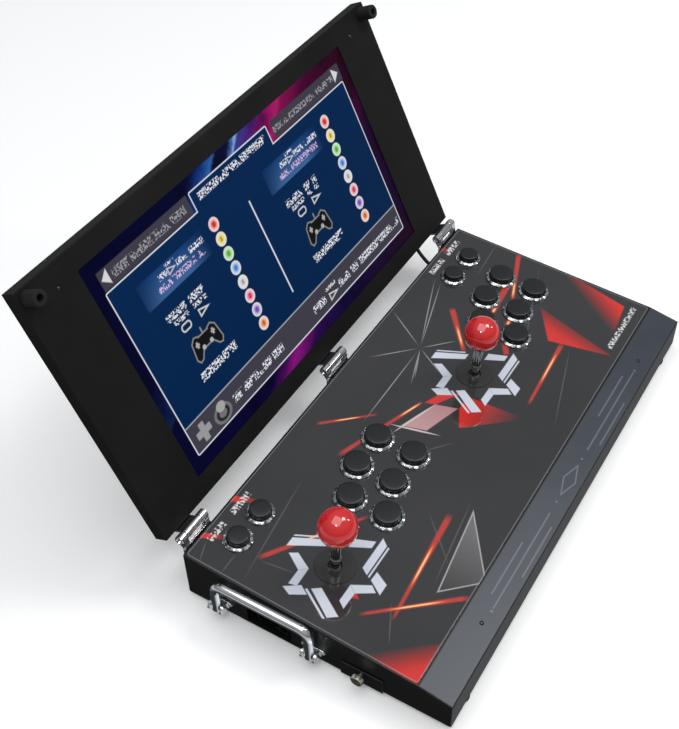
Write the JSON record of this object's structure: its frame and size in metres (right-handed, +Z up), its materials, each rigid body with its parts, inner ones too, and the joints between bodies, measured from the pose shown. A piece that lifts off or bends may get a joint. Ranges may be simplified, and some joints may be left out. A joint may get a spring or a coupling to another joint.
{
  "type": "bartop arcade cabinet",
  "caption": "Folding tabletop arcade console: a sloped control box with ball-top sticks and push buttons, a hinged flat display lid and a folding carrying handle.",
  "frame": {"origin": "on the plane the feet stand on, below the centre of the box around the whole object with its lid open as pictured", "axes": "+X to the player's right along the hinge line, +Y from the player to the rear, +Z up"},
  "size_m": [0.5386, 0.4048, 0.3103],
  "materials": {
    "black_paint": "black powder-coated sheet steel",
    "overlay": "clear acrylic over a printed dark sheet",
    "chrome": "polished",
    "dark_chrome": "black chrome",
    "ring_chrome": "bright plated ring with a frosted face",
    "cap_black": "black",
    "ball_red": "polished red",
    "housing_plastic": "moulded",
    "steel": "plain",
    "board_green": "circuit board",
    "screen": "lit flat display",
    "rubber": "matt"
  },
  "bodies": {
    "console": {"base_shell": "black_paint", "control_overlay": "overlay", "bottom_plate": "black_paint", "access_cover": "black_paint", "main_board": "board_green", "p1_stick_base": "housing_plastic", "p2_stick_base": "housing_plastic", "left_hinge_base_leaf": "chrome", "middle_hinge_base_leaf": "chrome", "right_hinge_base_leaf": "chrome", "p1_button_1_ring": "ring_chrome", "p1_button_2_ring": "ring_chrome", "p1_button_3_ring": "ring_chrome", "p1_button_4_ring": "ring_chrome", "p1_button_5_ring": "ring_chrome", "p1_button_6_ring": "ring_chrome", "p2_button_1_ring": "ring_chrome", "p2_button_2_ring": "ring_chrome", "p2_button_3_ring": "ring_chrome", "p2_button_4_ring": "ring_chrome", "p2_button_5_ring": "ring_chrome", "p2_button_6_ring": "ring_chrome", "p1_coin_ring": "ring_chrome", "p1_start_ring": "ring_chrome", "p2_start_ring": "ring_chrome", "p2_coin_ring": "ring_chrome"},
    "lid": {"lid_frame": "black_paint", "lid_back": "black_paint", "display_panel": "screen", "bumper_left": "rubber", "bumper_right": "rubber", "left_hinge_lid_leaf": "chrome", "middle_hinge_lid_leaf": "chrome", "right_hinge_lid_leaf": "chrome", "screen_cable": "rubber"},
    "handle": {"handle_bail": "chrome"},
    "thumbscrew": {"thumbscrew": "steel"},
    "p1_button_1_cap": {"p1_button_1_cap": "cap_black"},
    "p1_button_2_cap": {"p1_button_2_cap": "cap_black"},
    "p1_button_3_cap": {"p1_button_3_cap": "cap_black"},
    "p1_button_4_cap": {"p1_button_4_cap": "cap_black"},
    "p1_button_5_cap": {"p1_button_5_cap": "cap_black"},
    "p1_button_6_cap": {"p1_button_6_cap": "cap_black"},
    "p2_button_1_cap": {"p2_button_1_cap": "cap_black"},
    "p2_button_2_cap": {"p2_button_2_cap": "cap_black"},
    "p2_button_3_cap": {"p2_button_3_cap": "cap_black"},
    "p2_button_4_cap": {"p2_button_4_cap": "cap_black"},
    "p2_button_5_cap": {"p2_button_5_cap": "cap_black"},
    "p2_button_6_cap": {"p2_button_6_cap": "cap_black"},
    "p1_coin_cap": {"p1_coin_cap": "cap_black"},
    "p1_start_cap": {"p1_start_cap": "cap_black"},
    "p2_start_cap": {"p2_start_cap": "cap_black"},
    "p2_coin_cap": {"p2_coin_cap": "cap_black"},
    "p1_gimbal": {"p1_gimbal": "steel"},
    "p1_stick": {"p1_stick_shaft": "dark_chrome", "p1_stick_ball": "ball_red"},
    "p2_gimbal": {"p2_gimbal": "steel"},
    "p2_stick": {"p2_stick_shaft": "dark_chrome", "p2_stick_ball": "ball_red"}
  },
  "joints": [
    {"name": "p1_button_1_press", "type": "slide", "parent": "console", "child": "p1_button_1_cap", "axis": [0, 0.0716, -0.9974], "range_m": [0, 0.0035], "stiffness_N_per_m": 250, "springref_m": -0.001},
    {"name": "p1_button_2_press", "type": "slide", "parent": "console", "child": "p1_button_2_cap", "axis": [0, 0.0716, -0.9974], "range_m": [0, 0.0035], "stiffness_N_per_m": 250, "springref_m": -0.001},
    {"name": "p1_button_3_press", "type": "slide", "parent": "console", "child": "p1_button_3_cap", "axis": [0, 0.0716, -0.9974], "range_m": [0, 0.0035], "stiffness_N_per_m": 250, "springref_m": -0.001},
    {"name": "p1_button_4_press", "type": "slide", "parent": "console", "child": "p1_button_4_cap", "axis": [0, 0.0716, -0.9974], "range_m": [0, 0.0035], "stiffness_N_per_m": 250, "springref_m": -0.001},
    {"name": "p1_button_5_press", "type": "slide", "parent": "console", "child": "p1_button_5_cap", "axis": [0, 0.0716, -0.9974], "range_m": [0, 0.0035], "stiffness_N_per_m": 250, "springref_m": -0.001},
    {"name": "p1_button_6_press", "type": "slide", "parent": "console", "child": "p1_button_6_cap", "axis": [0, 0.0716, -0.9974], "range_m": [0, 0.0035], "stiffness_N_per_m": 250, "springref_m": -0.001},
    {"name": "p2_button_1_press", "type": "slide", "parent": "console", "child": "p2_button_1_cap", "axis": [0, 0.0716, -0.9974], "range_m": [0, 0.0035], "stiffness_N_per_m": 250, "springref_m": -0.001},
    {"name": "p2_button_2_press", "type": "slide", "parent": "console", "child": "p2_button_2_cap", "axis": [0, 0.0716, -0.9974], "range_m": [0, 0.0035], "stiffness_N_per_m": 250, "springref_m": -0.001},
    {"name": "p2_button_3_press", "type": "slide", "parent": "console", "child": "p2_button_3_cap", "axis": [0, 0.0716, -0.9974], "range_m": [0, 0.0035], "stiffness_N_per_m": 250, "springref_m": -0.001},
    {"name": "p2_button_4_press", "type": "slide", "parent": "console", "child": "p2_button_4_cap", "axis": [0, 0.0716, -0.9974], "range_m": [0, 0.0035], "stiffness_N_per_m": 250, "springref_m": -0.001},
    {"name": "p2_button_5_press", "type": "slide", "parent": "console", "child": "p2_button_5_cap", "axis": [0, 0.0716, -0.9974], "range_m": [0, 0.0035], "stiffness_N_per_m": 250, "springref_m": -0.001},
    {"name": "p2_button_6_press", "type": "slide", "parent": "console", "child": "p2_button_6_cap", "axis": [0, 0.0716, -0.9974], "range_m": [0, 0.0035], "stiffness_N_per_m": 250, "springref_m": -0.001},
    {"name": "p1_coin_press", "type": "slide", "parent": "console", "child": "p1_coin_cap", "axis": [0, 0.0716, -0.9974], "range_m": [0, 0.0035], "stiffness_N_per_m": 250, "springref_m": -0.001},
    {"name": "p1_start_press", "type": "slide", "parent": "console", "child": "p1_start_cap", "axis": [0, 0.0716, -0.9974], "range_m": [0, 0.0035], "stiffness_N_per_m": 250, "springref_m": -0.001},
    {"name": "p2_start_press", "type": "slide", "parent": "console", "child": "p2_start_cap", "axis": [0, 0.0716, -0.9974], "range_m": [0, 0.0035], "stiffness_N_per_m": 250, "springref_m": -0.001},
    {"name": "p2_coin_press", "type": "slide", "parent": "console", "child": "p2_coin_cap", "axis": [0, 0.0716, -0.9974], "range_m": [0, 0.0035], "stiffness_N_per_m": 250, "springref_m": -0.001},
    {"name": "p1_stick_forward_back", "type": "hinge", "parent": "console", "child": "p1_gimbal", "pos_m": [-0.19555, -0.05335, 0.03878], "axis": [1, 0, 0], "range_deg": [-9, 9], "stiffness_Nm_per_rad": 0.6},
    {"name": "p1_stick_left_right", "type": "hinge", "parent": "p1_gimbal", "child": "p1_stick", "pos_m": [-0.19555, -0.05335, 0.03878], "axis": [0, 0.9974, 0.0716], "range_deg": [-9, 9], "stiffness_Nm_per_rad": 0.6},
    {"name": "p2_stick_forward_back", "type": "hinge", "parent": "console", "child": "p2_gimbal", "pos_m": [0.07595, -0.05335, 0.03878], "axis": [1, 0, 0], "range_deg": [-9, 9], "stiffness_Nm_per_rad": 0.6},
    {"name": "p2_stick_left_right", "type": "hinge", "parent": "p2_gimbal", "child": "p2_stick", "pos_m": [0.07595, -0.05335, 0.03878], "axis": [0, 0.9974, 0.0716], "range_deg": [-9, 9], "stiffness_Nm_per_rad": 0.6},
    {"name": "lid_hinge", "type": "hinge", "parent": "console", "child": "lid", "pos_m": [0.00585, 0.06969, 0.0684], "axis": [1, 0, 0], "range_deg": [-35, 90], "deforming": ["screen_cable"]},
    {"name": "handle_pivot", "type": "hinge", "parent": "console", "child": "handle", "pos_m": [-0.26465, -0.06991, 0.0175], "axis": [0, -1, 0], "range_deg": [0, 90]},
    {"name": "thumbscrew_turn", "type": "hinge", "parent": "console", "child": "thumbscrew", "pos_m": [-0.25765, -0.11741, 0.0185], "axis": [-1, 0, 0], "continuous": true}
  ]
}
